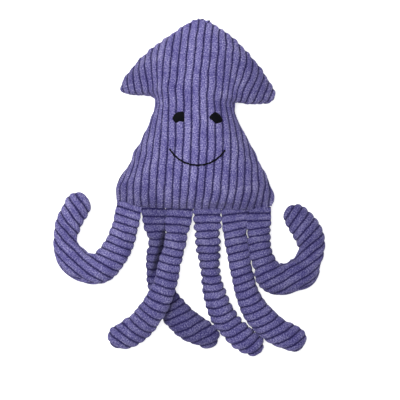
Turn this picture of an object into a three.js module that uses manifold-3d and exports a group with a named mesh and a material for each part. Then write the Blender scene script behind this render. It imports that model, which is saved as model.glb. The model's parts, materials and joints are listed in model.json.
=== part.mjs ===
// A stuffed corduroy squid for a dog to carry and shake, lying on its back.
//
// Two cut panels of wide corduroy make the mantle: an arrow-shaped head on a bell-shaped body.
// Six tentacles, each two J-shaped panels sewn round a stuffed core, hang from its hem. A bellows
// squeaker with a reed sits in a pocket of the filling. The eyes and the mouth are embroidered.
//
// Units are millimetres. While the toy is built, x runs across from the middle of the body, y runs
// up the body from its hem, and z is the height above the floor. At the end the whole toy is moved
// so that the origin is under the middle of its outline.

import * as THREE from 'three';
import { mergeVertices } from 'three/addons/utils/BufferGeometryUtils.js';
import Module from 'manifold-3d';

const wasm = await Module();
wasm.setup();

// Driving dimensions

const clothThickness = 2;
const touchingGap = 0.3;
const fillingGap = 0.8;
const stitchGap = 0.45;
const floorCut = 0.5;
const seamGap = 0.4;

// The mantle. Each station is a row across the body: where its left and right edges and its middle
// lie, how far the front swells above the seam, and how high the seam lies above the floor at the
// middle and at the two edges.
const mantleStations = [
  { left: [-77, 11.7], middle: [0, 3.5], right: [77.5, 5.5], swell: 3.3, height: 13.5, edge: 13.5 },
  { left: [-78.5, 21], middle: [0, 14], right: [79, 16], swell: 15, height: 16, edge: 15.5 },
  { left: [-76, 34], middle: [0, 32], right: [76, 32], swell: 22.5, height: 19, edge: 18 },
  { left: [-64, 52], middle: [0.5, 52], right: [64.5, 51], swell: 24, height: 19.5, edge: 18.5 },
  { left: [-53, 74], middle: [0.5, 74], right: [55, 72], swell: 22.5, height: 18.5, edge: 17.5 },
  { left: [-44.5, 94], middle: [1, 94], right: [43.5, 94], swell: 20.5, height: 17.3, edge: 16.5 },
  { left: [-39.5, 110], middle: [1.5, 108], right: [40.5, 105], swell: 19, height: 16.5, edge: 14.5 },
  { left: [-43, 116.5], middle: [2, 114], right: [44, 109.5], swell: 18.5, height: 16.2, edge: 13 },
  { left: [-58, 117], middle: [2.5, 119.5], right: [62, 107.5], swell: 18.2, height: 16, edge: 11 },
  { left: [-70.5, 120.5], middle: [3, 126], right: [77, 111.5], swell: 18, height: 15.8, edge: 9.5 },
  { left: [-72.5, 128], middle: [3.5, 134], right: [80.5, 118], swell: 17.5, height: 15.4, edge: 9 },
  { left: [-65, 141], middle: [4, 145], right: [73.5, 133], swell: 16, height: 14.6, edge: 9 },
  { left: [-50, 157], middle: [4.5, 160], right: [58.5, 154], swell: 13.5, height: 13, edge: 9 },
  { left: [-30, 173], middle: [5, 176], right: [38.5, 173.5], swell: 10, height: 11, edge: 8.5 },
  { left: [-9, 187.5], middle: [5.8, 189.5], right: [20, 188], swell: 5.5, height: 8.5, edge: 8 },
  { left: [6, 196], middle: [6, 196], right: [6, 196], swell: 0, height: 8, edge: 8 },
];
const backToFront = 0.83; // the back lies flatter than the front
const rowsPerStation = 2;
const mantleColumns = 12;
const rowFullness = 2.3; // the exponent of the rounded section across a row
const rowPace = 0.0075; // the share of the rows that one mm takes near the hem and the tip

// The tentacles, from left to right. Each hangs from a place across the hem, from -1 to 1. Its root
// is turned a few degrees from pointing straight down the body, and the fold at its seam with it.
// It follows a route: steps across and up from its root, with its half width there. The last place
// is the middle of the round tip. The turns fall from tentacle 4 to 6, so that these three, which
// touch, move apart and not together when all are folded at once.
const tentacles = [
  {
    name: 'tentacle_1',
    rings: 17,
    hemPlace: -0.834,
    rootHalfWidth: 12,
    rootTurn: -11.5,
    route: [
      [-3.8, -18.6, 12.6], [-10.8, -37, 13.7], [-20.4, -52, 14.4], [-27.8, -59.2, 14.8],
      [-38.6, -61.4, 15], [-47.6, -57.8, 15], [-55.2, -51, 14.6], [-62, -42.4, 13.2],
      [-64.4, -31, 12.2], [-60.8, -17, 13], [-52.2, 1.4, 12.8],
    ],
  },
  {
    name: 'tentacle_2',
    rings: 12,
    hemPlace: -0.525,
    rootHalfWidth: 11.7,
    rootTurn: 1.9,
    route: [
      [0.5, -15, 11.2], [4, -30, 10], [3.5, -50, 10.4], [6, -71, 11.5], [14, -91, 13],
      [28.4, -109.5, 14], [38, -116.6, 13.8], [52.3, -124.9, 12.4],
    ],
    pressed: { by: 0.26, from: 22, to: 124 },
  },
  {
    name: 'tentacle_3',
    rings: 13,
    hemPlace: -0.19,
    rootHalfWidth: 12.6,
    rootTurn: -3.3,
    route: [
      [-0.8, -14, 12.2], [-4.3, -31, 10.9], [-9.3, -50, 11.3], [-14.3, -70, 12], [-21.3, -88, 12.4],
      [-30.3, -102.5, 13.6], [-41.3, -115, 14], [-53.3, -123.5, 13.5], [-59.5, -126, 12.4],
    ],
    lifted: { by: 14.8, from: 5, to: 137, slope: 34 },
  },
  {
    name: 'tentacle_4',
    rings: 13,
    hemPlace: 0.168,
    rootHalfWidth: 12.6,
    rootTurn: 3,
    route: [
      [0, -21.5, 11.6], [1.5, -41.5, 11], [3, -56.5, 10.5], [6.5, -73.5, 11.4], [11, -87.5, 12],
      [16.8, -100.5, 12.4], [25.5, -113.3, 12.5], [35.8, -123.8, 12.6], [44.7, -130.7, 11.9],
    ],
  },
  {
    name: 'tentacle_5',
    rings: 12,
    hemPlace: 0.52,
    rootHalfWidth: 11.9,
    rootTurn: 1.7,
    route: [
      [1.7, -21.7, 11.4], [4.7, -41.7, 11], [8.7, -61.7, 11.3], [14, -79.5, 12.2],
      [23.3, -98.5, 13.7], [39.7, -115.6, 14.1], [58.6, -125.6, 13.1],
    ],
  },
  {
    name: 'tentacle_6',
    rings: 16,
    hemPlace: 0.833,
    rootHalfWidth: 11.6,
    rootTurn: -0.5,
    route: [
      [0.7, -18, 11.3], [2.4, -36, 10.8], [8, -52, 12.4], [12.9, -61.4, 14.3],
      [22.5, -66.8, 15.5], [33, -65.2, 16], [43.4, -58.6, 15.6], [50.2, -49, 13.9],
      [52.8, -36, 13.2], [50.9, -25, 13.5], [45.8, -14.8, 13.7], [37.8, -4.6, 12.6],
    ],
  },
];
const tentaclePlumpness = 0.78; // half the thickness over half the width
const rootHalfThickness = 3; // the sewn root is flattened, and its end is round
const rootGap = 0.4; // between that end and the hem
const rootSwellLength = 24; // the length in which it swells to its full thickness
const rootDropLength = 48; // the length in which it comes down to the floor
const cavityStart = 5; // inside the root, only cloth layers lie within this length
const walkStep = 1;
const headingReach = 4; // steps to either side that give the heading
const bendReach = 6; // steps to either side that give the bend
const innerReach = 0.88; // the share of the way to the next ring's line that a ring may reach
const bendCrowding = 22; // how much closer the rings lie in a bend, in mm for each radian
const tipRings = 3;
const halfSectionSides = 5;

// The squeaker, in a pocket that opens to the back of the filling.
const squeakerCentre = [0, 50];
const bellows = {
  radius: 19,
  valleyRadius: 15.5,
  folds: 3,
  foldHeight: 5.6,
  wall: 1.2,
  neckRadius: 6.2,
  neckHeight: 4.2,
};
const cap = { flangeRadius: 8, flangeHeight: 1.5, plugHeight: 4.4, soundHoleRadius: 1.6, height: 1.8 };
const reed = { length: 6, width: 2.2, thickness: 0.3 };
const turnedSides = 24;

// The embroidered face, placed on the front of the mantle.
const eyes = [
  { name: 'left_eye', centre: [-15.6, 95.9], width: 12.2, height: 10.8 },
  { name: 'right_eye', centre: [22.3, 95.2], width: 12.2, height: 10.8 },
];
const eyeRelief = 1.3;
const eyeSides = 16;
const mouth = { centre: [3.7, 78.7], radius: 31.5, fromAngle: 208, toAngle: 331, thread: 1.5 };
const mouthSteps = 18;
const threadSides = 6;

// The materials

const corduroy = new THREE.MeshStandardMaterial({ color: 0x6e69a2, roughness: 0.95, metalness: 0 });
const fibre = new THREE.MeshStandardMaterial({ color: 0xf1efe9, roughness: 1, metalness: 0 });
const blackThread = new THREE.MeshStandardMaterial({ color: 0x14141a, roughness: 0.6, metalness: 0 });
const clearVinyl = new THREE.MeshStandardMaterial({ color: 0xe6e8e4, roughness: 0.35, metalness: 0 });
const hardPlastic = new THREE.MeshStandardMaterial({ color: 0xf5f5f0, roughness: 0.4, metalness: 0 });

// Shared geometry

function smoothstep(x, from, to) {
  const t = THREE.MathUtils.clamp((x - from) / (to - from), 0, 1);
  return t * t * (3 - 2 * t);
}

// Merges the vertices that coincide and drops the triangles that this flattens.
function cleaned(geometry) {
  const bare = new THREE.BufferGeometry();
  bare.setAttribute('position', geometry.getAttribute('position'));
  bare.setIndex(geometry.getIndex());
  const merged = mergeVertices(bare, 1e-3);
  const kept = [];
  for (let i = 0; i < merged.index.count; i += 3) {
    const [a, b, c] = [0, 1, 2].map((corner) => merged.index.getX(i + corner));
    if (a !== b && b !== c && c !== a) kept.push(a, b, c);
  }
  merged.setIndex(kept);
  return merged;
}

function toSolid(geometry) {
  const { attributes, index } = cleaned(geometry);
  const vertProperties = new Float32Array(attributes.position.array);
  const triVerts = new Uint32Array(index.array);
  return new wasm.Manifold(new wasm.Mesh({ numProp: 3, vertProperties, triVerts }));
}

function toGeometry(solid) {
  const { numProp, numVert, vertProperties, triVerts } = solid.getMesh();
  const positions = new Float32Array(numVert * 3);
  for (let i = 0; i < numVert; i++) {
    positions.set(vertProperties.subarray(i * numProp, i * numProp + 3), i * 3);
  }
  const geometry = new THREE.BufferGeometry();
  geometry.setAttribute('position', new THREE.BufferAttribute(positions, 3));
  geometry.setIndex(new THREE.BufferAttribute(new Uint32Array(triVerts), 1));
  return geometry;
}

// The triangles that close a ring by a strip from its first point across to the points opposite.
function ringCap(count) {
  const triangles = [];
  let high = count - 1;
  for (let low = 0; low + 1 < high; low++) {
    triangles.push([low, low + 1, high]);
    if (low + 2 < high) triangles.push([low + 1, high - 1, high]);
    high -= 1;
  }
  return triangles;
}

// A closed skin through rings with equal numbers of points.
function loft(rings) {
  const count = rings[0].length;
  const points = rings.flat();
  const index = [];
  for (let r = 0; r + 1 < rings.length; r++) {
    for (let i = 0; i < count; i++) {
      const a = r * count + i;
      const b = r * count + ((i + 1) % count);
      index.push(a, b, b + count, a, b + count, a + count);
    }
  }
  const last = (rings.length - 1) * count;
  for (const [a, b, c] of ringCap(count)) {
    index.push(a, c, b, last + a, last + b, last + c);
  }
  const geometry = new THREE.BufferGeometry().setFromPoints(points);
  geometry.setIndex(signedVolume(points, index) < 0 ? index.reverse() : index);
  return geometry;
}

function signedVolume(points, index) {
  let volume = 0;
  for (let i = 0; i < index.length; i += 3) {
    const [a, b, c] = [points[index[i]], points[index[i + 1]], points[index[i + 2]]];
    volume += a.dot(b.clone().cross(c)) / 6;
  }
  return volume;
}

// The cloth shell of a stuffed form: its outer half less the hollow for the filling, without the
// crumbs that the cut leaves where rings nearly meet inside a bend.
function clothPanel(outerHalf, hollow) {
  const pieces = toSolid(outerHalf).subtract(toSolid(hollow)).decompose();
  return toGeometry(pieces.reduce((a, b) => (b.volume() > a.volume() ? b : a)));
}

function namedMesh(name, geometry, material) {
  const mesh = new THREE.Mesh(cleaned(geometry), material);
  mesh.name = name;
  return mesh;
}

// The mantle as rows across the body

const leftEdge = new THREE.CatmullRomCurve3(
  mantleStations.map(({ left, edge }) => new THREE.Vector3(left[0], left[1], edge)),
);
const rightEdge = new THREE.CatmullRomCurve3(
  mantleStations.map(({ right, edge }) => new THREE.Vector3(right[0], right[1], edge)),
);
const middleLine = new THREE.CatmullRomCurve3(
  mantleStations.map(({ middle, height }) => new THREE.Vector3(middle[0], middle[1], height)),
);
const swellLine = new THREE.CatmullRomCurve3(
  mantleStations.map(({ swell }, i) => new THREE.Vector3(swell, i, 0)),
);

// The point of an edge, moved into the body by an inset. Up the left edge, inwards is to the right.
function insetEdge(curve, t, inset, side) {
  const tangent = curve.getTangent(t);
  const inwards = new THREE.Vector3(tangent.y, -tangent.x, 0).normalize();
  return curve.getPoint(t).addScaledVector(inwards, inset * side);
}

function mantleRow(t, inset) {
  const left = insetEdge(leftEdge, t, inset, 1);
  const right = insetEdge(rightEdge, t, inset, -1);
  const middle = middleLine.getPoint(t);
  const swell = Math.max(swellLine.getPoint(t).x - inset, 0);
  return { left, middle, right, swell };
}

// A point of the middle layer of a row: a parabola through its left, middle and right points.
function rowPoint({ left, middle, right }, across) {
  const slope = right.clone().sub(left).multiplyScalar(across / 2);
  const bow = left.clone().add(right).addScaledVector(middle, -2).multiplyScalar((across * across) / 2);
  return middle.clone().add(slope).add(bow);
}

function rowSwell({ swell }, across) {
  return swell * Math.sqrt(Math.max(1 - Math.abs(across) ** rowFullness, 0));
}

function lowestAt(inset) {
  return inset > 0 ? inset - floorCut : 0;
}

function frontPoint(row, across, lift = 0) {
  const point = rowPoint(row, across);
  point.z += rowSwell(row, across) + lift;
  return point;
}

function backPoint(row, across, inset, lift = 0) {
  const point = rowPoint(row, across);
  point.z = Math.max(point.z - backToFront * rowSwell(row, across) - lift, lowestAt(inset));
  return point;
}

function middlePoint(row, across, lift) {
  const point = rowPoint(row, across);
  point.z += lift;
  return point;
}

// Rows from the hem to the tip. An inner layer starts one row in and ends one row before the tip,
// and what lies inside it starts and ends a little further in again.
function mantleRows(inset) {
  const rowCount = (mantleStations.length - 1) * rowsPerStation;
  const places = Array.from({ length: rowCount + 1 }, (_, i) => i / rowCount);
  if (inset === 0) return places.map((t) => mantleRow(t, 0));
  const inner = places.slice(1, -1);
  inner[0] += (inset - clothThickness) * rowPace;
  inner[inner.length - 1] -= (inset - clothThickness) * rowPace;
  return inner.map((t) => mantleRow(t, inset));
}

// Column places across a row, closer together where the section turns at the seam.
const columnPlaces = Array.from({ length: mantleColumns + 1 }, (_, i) =>
  Math.sin(((i / mantleColumns) * 2 - 1) * (Math.PI / 2)),
);
const innerPlaces = columnPlaces.slice(1, -1).reverse();

function mantleFrontHalf() {
  const rings = mantleRows(0).map((row) => [
    ...columnPlaces.map((across) => frontPoint(row, across, seamGap / 2)),
    ...innerPlaces.map((across) => middlePoint(row, across, seamGap / 2)),
  ]);
  return loft(rings);
}

function mantleBackHalf() {
  const rings = mantleRows(0).map((row) => [
    ...columnPlaces.map((across) => backPoint(row, across, 0, seamGap / 2)),
    ...innerPlaces.map((across) => middlePoint(row, across, -seamGap / 2)),
  ]);
  return loft(rings);
}

function mantleWhole(inset) {
  const rings = mantleRows(inset).map((row) => [
    ...columnPlaces.map((across) => frontPoint(row, across)),
    ...innerPlaces.map((across) => backPoint(row, across, inset)),
  ]);
  return loft(rings);
}

// The tentacles as rings along a route

function hemPoint(across) {
  return rowPoint(mantleRow(0, 0), across);
}

// Where a tentacle's root lies: just clear of the hem across its whole width.
function rootOf({ hemPlace, rootHalfWidth, rootTurn }) {
  const turn = THREE.MathUtils.degToRad(rootTurn);
  const heading = new THREE.Vector3(Math.sin(turn), -Math.cos(turn), 0);
  const widthways = new THREE.Vector3(-heading.y, heading.x, 0);
  const middle = hemPoint(hemPlace);
  const halfSpan = rootHalfWidth / (hemPoint(1).x - hemPoint(0).x);
  const nearest = [-1, -0.5, 0, 0.5, 1].map((side) => {
    const place = THREE.MathUtils.clamp(hemPlace + side * halfSpan, -1, 1);
    return hemPoint(place).sub(middle).dot(heading);
  });
  const clearance = rootHalfThickness + rootGap + Math.max(...nearest);
  return { middle: middle.addScaledVector(heading, clearance), heading, widthways };
}

// The route as a smooth curve whose third coordinate is the half width.
function routeCurve(tentacle) {
  const { middle } = rootOf(tentacle);
  const points = tentacle.route.map(
    ([across, up, halfWidth]) => new THREE.Vector3(middle.x + across, middle.y + up, halfWidth),
  );
  points.unshift(new THREE.Vector3(middle.x, middle.y, tentacle.rootHalfWidth));
  return new THREE.CatmullRomCurve3(points);
}

// The thickness and height of the tentacle at a distance from its root.
function thicknessAt({ pressed }, halfWidth, along) {
  const full = tentaclePlumpness * halfWidth;
  const swollen = THREE.MathUtils.lerp(rootHalfThickness, full, smoothstep(along, 0, rootSwellLength));
  if (!pressed) return swollen;
  const slope = (pressed.to - pressed.from) / 3;
  const share =
    smoothstep(along, pressed.from, pressed.from + slope) *
    (1 - smoothstep(along, pressed.to - slope, pressed.to));
  return swollen * (1 - pressed.by * share);
}

function heightAt({ lifted }, rootHeight, halfThickness, along) {
  const resting = halfThickness - floorCut;
  const height = THREE.MathUtils.lerp(rootHeight, resting, smoothstep(along, 0, rootDropLength));
  if (!lifted) return height;
  const share =
    smoothstep(along, lifted.from, lifted.from + lifted.slope) *
    (1 - smoothstep(along, lifted.to - lifted.slope, lifted.to));
  return height + lifted.by * share;
}

// The route walked in small steps: where each lies, which way it heads and how sharply it bends.
function walkRoute(tentacle) {
  const curve = routeCurve(tentacle);
  const stepCount = Math.round(curve.getLength() / walkStep);
  const places = curve.getSpacedPoints(stepCount);
  const at = (i) => THREE.MathUtils.clamp(i, 0, stepCount);
  const headings = places.map((_, i) => {
    const ahead = places[at(i + headingReach)].clone().sub(places[at(i - headingReach)]);
    return i === 0 ? rootOf(tentacle).heading : ahead.setZ(0).normalize();
  });
  return places.map((place, i) => {
    const turn = headings[at(i - bendReach)].angleTo(headings[at(i + bendReach)]);
    return { along: i * walkStep, place, heading: headings[i], bend: turn / (2 * bendReach * walkStep) };
  });
}

function widthwaysOf({ heading }) {
  return new THREE.Vector3(-heading.y, heading.x, 0);
}

// How far to its left (or, if negative, to its right) the line of a ring meets another ring's line.
function meeting(ring, other) {
  const between = other.place.clone().sub(ring.place).setZ(0);
  return between.dot(other.heading) / widthwaysOf(ring).dot(other.heading);
}

// The steps that get a ring, closer together where the tentacle bends, with how far each may reach
// to its left and right before it meets the next ring inside the bend.
function ringsOf(tentacle, isInner) {
  const walk = walkRoute(tentacle);
  const measures = [0];
  walk.slice(1).forEach(({ bend }, i) => measures.push(measures[i] + walkStep * (1 + bendCrowding * bend)));
  const total = measures.at(-1);
  const regular = Array.from({ length: tentacle.rings + 1 }, (_, i) =>
    measures.findIndex((measure) => measure >= (total * i) / tentacle.rings - 1e-9),
  );
  const first = isInner ? cavityStart / walkStep : 0;
  const steps = regular.filter((step) => step >= first).map((step) => walk[step]);
  return steps.map((step, i) => {
    const meetings = [steps[i - 1], steps[i + 1]].filter(Boolean).map((other) => meeting(step, other));
    const left = Math.min(...meetings.filter((reach) => reach > 0), Infinity);
    const right = Math.min(...meetings.filter((reach) => reach < 0).map(Math.abs), Infinity);
    return { ...step, left: left * innerReach, right: right * innerReach };
  });
}

// A tentacle's rings: the middle of each, its heading, its half width to the left and to the right
// and its half thickness, from the round end of the root to the end of the tip.
function tentacleSections(tentacle, inset) {
  const root = rootOf(tentacle);
  const sections = [];
  if (inset === 0) {
    for (const turn of [80, 50, 25]) {
      const angle = THREE.MathUtils.degToRad(turn);
      const middle = root.middle.clone().addScaledVector(root.heading, -rootHalfThickness * Math.sin(angle));
      sections.push({
        middle,
        heading: root.heading,
        left: tentacle.rootHalfWidth,
        right: tentacle.rootHalfWidth,
        halfThickness: rootHalfThickness * Math.cos(angle),
      });
    }
  }
  const rings = ringsOf(tentacle, inset > 0);
  if (inset > 0) rings[0].place.addScaledVector(rings[0].heading, inset - clothThickness);
  for (const ring of rings) {
    const halfWidth = ring.place.z;
    const halfThickness = thicknessAt(tentacle, halfWidth, ring.along);
    const height = heightAt(tentacle, root.middle.z, halfThickness, ring.along);
    sections.push({
      middle: ring.place.clone().setZ(height),
      heading: ring.heading,
      left: Math.min(halfWidth, ring.left) - inset,
      right: Math.min(halfWidth, ring.right) - inset,
      halfThickness: halfThickness - inset,
    });
  }
  const end = sections.at(-1);
  for (let i = 1; i <= tipRings; i++) {
    const angle = (i / tipRings) * (Math.PI / 2);
    const shrink = Math.cos(angle);
    sections.push({
      middle: end.middle.clone().addScaledVector(end.heading, end.left * Math.sin(angle)),
      heading: end.heading,
      left: end.left * shrink,
      right: end.right * shrink,
      halfThickness: end.halfThickness * shrink,
    });
  }
  return sections;
}

// A point of a section by its angle from the left side, over the top for a positive angle.
function sectionPoint(section, angle, inset, lift = 0) {
  const { middle, left, right, halfThickness } = section;
  const reach = (Math.cos(angle) > 0 ? left : right) * Math.cos(angle);
  const point = middle.clone().addScaledVector(widthwaysOf(section), reach);
  point.z = Math.max(middle.z + halfThickness * Math.sin(angle) + lift, lowestAt(inset));
  return point;
}

function halfAngles(sign) {
  return Array.from({ length: halfSectionSides + 1 }, (_, i) => (sign * i * Math.PI) / halfSectionSides);
}

function tentacleHalf(tentacle, sign) {
  const lift = (sign * seamGap) / 2;
  const rings = tentacleSections(tentacle, 0).map((section) =>
    halfAngles(sign).map((angle) => sectionPoint(section, angle, 0, lift)),
  );
  return loft(rings);
}

function tentacleWhole(tentacle, inset) {
  const angles = [...halfAngles(1), ...halfAngles(-1).slice(1, -1).reverse()];
  const rings = tentacleSections(tentacle, inset).map((section) =>
    angles.map((angle) => sectionPoint(section, angle, inset)),
  );
  return loft(rings);
}

// The squeaker, turned about its own axis

function turned(profile) {
  const outline = profile.map(([radius, height]) => new THREE.Vector2(radius, height));
  return new THREE.LatheGeometry(outline, turnedSides).rotateX(Math.PI / 2);
}

const flangeTop = cap.height + cap.flangeHeight;
const plugTop = flangeTop + cap.plugHeight;
const neckBase = flangeTop + touchingGap;
const bellowsBase = neckBase + bellows.neckHeight;
const bellowsTop = bellowsBase + bellows.folds * bellows.foldHeight;
const neckBore = bellows.neckRadius - bellows.wall;
const plugRadius = neckBore - touchingGap;

function bellowsGeometry() {
  const { radius, valleyRadius, folds, foldHeight, wall, neckRadius } = bellows;
  const zigzag = [];
  for (let fold = 0; fold < folds; fold++) {
    const base = bellowsBase + fold * foldHeight;
    zigzag.push([valleyRadius, base], [radius, base + foldHeight / 2]);
  }
  zigzag.push([valleyRadius, bellowsTop]);
  const inner = zigzag.map(([r, z], i) => {
    const inwards = i === 0 ? wall : i === zigzag.length - 1 ? -wall : 0;
    return [r - wall, z + inwards];
  });
  return turned([
    [neckBore, neckBase],
    [neckRadius, neckBase],
    [neckRadius, bellowsBase],
    ...zigzag,
    [0, bellowsTop],
    [0, bellowsTop - wall],
    ...inner.reverse(),
    [neckBore, bellowsBase + wall],
    [neckBore, neckBase],
  ]);
}

function capGeometry() {
  return turned([
    [cap.soundHoleRadius, cap.height],
    [cap.flangeRadius, cap.height],
    [cap.flangeRadius, flangeTop],
    [plugRadius, flangeTop],
    [plugRadius, plugTop],
    [cap.soundHoleRadius, plugTop],
    [cap.soundHoleRadius, cap.height],
  ]);
}

function reedGeometry() {
  const lift = plugTop + touchingGap + reed.thickness / 2;
  return new THREE.BoxGeometry(reed.length, reed.width, reed.thickness).translate(0, 0, lift);
}

function pocketGeometry() {
  const depth = bellowsTop + touchingGap;
  const pocket = new THREE.CylinderGeometry(
    bellows.radius + touchingGap, bellows.radius + touchingGap, depth, turnedSides,
  );
  return pocket.rotateX(Math.PI / 2).translate(squeakerCentre[0], squeakerCentre[1], depth / 2);
}

// The face, laid on the front panel

const raycaster = new THREE.Raycaster();
const downwards = new THREE.Vector3(0, 0, -1);

// A point on the front of the mantle under a place in x and y, raised by a clearance.
function onFront(front, x, y, clearance) {
  raycaster.set(new THREE.Vector3(x, y, 1000), downwards);
  const [hit] = raycaster.intersectObject(front);
  return new THREE.Vector3(x, y, hit.point.z + clearance);
}

// A satin-stitched patch: an oval that follows the cloth, domed towards its middle.
function eyeGeometry(front, { centre, width, height }) {
  const layers = [
    { spread: 0.02, rise: 0 },
    { spread: 0.6, rise: 0 },
    { spread: 1, rise: 0 },
    { spread: 1, rise: 0.35 },
    { spread: 0.7, rise: 0.85 },
    { spread: 0.02, rise: 1 },
  ];
  const rings = layers.map(({ spread, rise }) =>
    Array.from({ length: eyeSides }, (_, i) => {
      const angle = (i / eyeSides) * 2 * Math.PI;
      const x = centre[0] + (width / 2) * spread * Math.cos(angle);
      const y = centre[1] + (height / 2) * spread * Math.sin(angle);
      return onFront(front, x, y, stitchGap + eyeRelief * rise);
    }),
  );
  return loft(rings);
}

// One line of thread along an arc, lying on the cloth.
function mouthGeometry(front) {
  const { centre, radius, fromAngle, toAngle, thread } = mouth;
  const middles = Array.from({ length: mouthSteps + 1 }, (_, i) => {
    const angle = THREE.MathUtils.degToRad(THREE.MathUtils.lerp(fromAngle, toAngle, i / mouthSteps));
    const x = centre[0] + radius * Math.cos(angle);
    const y = centre[1] + radius * Math.sin(angle);
    const point = onFront(front, x, y, stitchGap + thread / 2);
    return { point, outwards: new THREE.Vector3(Math.cos(angle), Math.sin(angle), 0) };
  });
  const rings = middles.map(({ point, outwards }) =>
    Array.from({ length: threadSides }, (_, i) => {
      const angle = (i / threadSides) * 2 * Math.PI;
      const spoke = outwards.clone().multiplyScalar(Math.cos(angle)).setZ(Math.sin(angle));
      return point.clone().addScaledVector(spoke, thread / 2);
    }),
  );
  return loft(rings);
}

// Assembly

const toy = new THREE.Group();
toy.name = 'squid_toy';

const hollow = mantleWhole(clothThickness);
const mantleFront = namedMesh('mantle_front_panel', clothPanel(mantleFrontHalf(), hollow), corduroy);
const mantleBack = namedMesh('mantle_back_panel', clothPanel(mantleBackHalf(), hollow), corduroy);
const packed = toSolid(mantleWhole(clothThickness + fillingGap)).subtract(toSolid(pocketGeometry()));
toy.add(mantleFront, mantleBack, namedMesh('mantle_filling', toGeometry(packed), fibre));

const squeaker = new THREE.Group();
squeaker.position.set(squeakerCentre[0], squeakerCentre[1], 0);
squeaker.add(
  namedMesh('squeaker_bellows', bellowsGeometry(), clearVinyl),
  namedMesh('squeaker_reed_cap', capGeometry(), hardPlastic),
  namedMesh('squeaker_reed', reedGeometry(), hardPlastic),
);
toy.add(squeaker);

mantleFront.updateMatrixWorld();
for (const eye of eyes) {
  toy.add(namedMesh(eye.name, eyeGeometry(mantleFront, eye), blackThread));
}
toy.add(namedMesh('mouth_stitching', mouthGeometry(mantleFront), blackThread));

for (const tentacle of tentacles) {
  const core = tentacleWhole(tentacle, clothThickness);
  toy.add(
    namedMesh(`${tentacle.name}_front_panel`, clothPanel(tentacleHalf(tentacle, 1), core), corduroy),
    namedMesh(`${tentacle.name}_back_panel`, clothPanel(tentacleHalf(tentacle, -1), core), corduroy),
    namedMesh(`${tentacle.name}_filling`, tentacleWhole(tentacle, clothThickness + fillingGap), fibre),
  );
}

// The origin is on the floor, under the middle of the toy's outline.
const outline = new THREE.Box3().setFromObject(toy);
const centre = outline.getCenter(new THREE.Vector3());
toy.position.set(-centre.x, -centre.y, -outline.min.z);

export default toy;
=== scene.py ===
# %% [markdown]
# # A corduroy squid toy
#
# The toy lies on its back: an arrow-shaped head on a bell-shaped body, with six curling arms sewn
# along the hem. All of it is one cloth, a corduroy with very wide ribs, which a maker calls wales.
# The wales decide how the toy looks, so each piece of cloth here carries a map of where it was cut
# from the flat cloth, and that map drives both the ribbed shape and the colour.
#
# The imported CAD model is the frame. It fixes the size, and the seams that the arms swing on.

# %% The frame
import json
import math

import bmesh
import bpy
import numpy as np
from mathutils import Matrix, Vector, noise
from mathutils.bvhtree import BVHTree


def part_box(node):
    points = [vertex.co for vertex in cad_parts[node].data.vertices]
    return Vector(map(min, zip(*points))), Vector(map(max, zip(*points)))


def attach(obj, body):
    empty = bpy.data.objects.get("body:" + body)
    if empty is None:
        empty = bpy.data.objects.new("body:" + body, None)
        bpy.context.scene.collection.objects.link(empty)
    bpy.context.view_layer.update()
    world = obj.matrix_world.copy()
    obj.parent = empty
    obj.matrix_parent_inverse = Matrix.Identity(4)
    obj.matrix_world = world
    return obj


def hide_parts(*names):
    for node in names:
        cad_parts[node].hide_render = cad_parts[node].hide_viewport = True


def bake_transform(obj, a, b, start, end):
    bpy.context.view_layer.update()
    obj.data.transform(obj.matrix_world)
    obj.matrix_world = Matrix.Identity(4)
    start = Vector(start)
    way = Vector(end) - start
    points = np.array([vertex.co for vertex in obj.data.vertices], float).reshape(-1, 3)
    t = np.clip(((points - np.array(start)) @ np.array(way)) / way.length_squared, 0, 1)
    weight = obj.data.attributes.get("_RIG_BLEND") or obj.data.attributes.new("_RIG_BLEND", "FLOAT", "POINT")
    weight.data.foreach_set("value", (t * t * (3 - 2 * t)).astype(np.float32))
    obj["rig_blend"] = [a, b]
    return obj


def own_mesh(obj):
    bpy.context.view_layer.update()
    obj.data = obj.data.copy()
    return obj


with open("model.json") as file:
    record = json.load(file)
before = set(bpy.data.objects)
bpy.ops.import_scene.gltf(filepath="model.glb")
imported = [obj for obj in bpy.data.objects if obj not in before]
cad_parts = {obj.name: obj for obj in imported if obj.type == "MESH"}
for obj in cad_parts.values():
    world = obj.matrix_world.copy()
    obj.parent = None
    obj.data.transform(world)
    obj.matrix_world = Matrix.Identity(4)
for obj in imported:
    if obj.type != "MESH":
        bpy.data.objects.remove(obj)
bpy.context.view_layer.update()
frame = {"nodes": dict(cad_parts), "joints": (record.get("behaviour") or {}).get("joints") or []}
MM = 0.001

# %% [markdown]
# The outline is written from the middle of the hem, as a maker would measure the pattern. The
# squeaker's reed stands at a known place of the pattern, so its place in the frame gives the shift
# between the two.

# %% Where the pattern lies in the frame
REED_ON_PATTERN = np.array([0.0, 50.0])

reed_low, reed_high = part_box("squeaker_reed")
reed_place = np.array((reed_low + reed_high) / 2)[:2] / MM
PATTERN_ORIGIN = reed_place - REED_ON_PATTERN
HINGES = {joint["child"]: joint for joint in frame["joints"] if joint["type"] == "hinge"}
print("pattern origin, mm:", PATTERN_ORIGIN.round(2))

# %% [markdown]
# ## Curves
#
# A few rows of measurements, joined by smooth curves, describe a stuffed shape well. A Catmull-Rom
# curve passes through every point it is given, so each number stays a real measurement. Lengths
# are in millimetres up to where a point is placed. Only the floor, lamps and camera are in metres.


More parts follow.
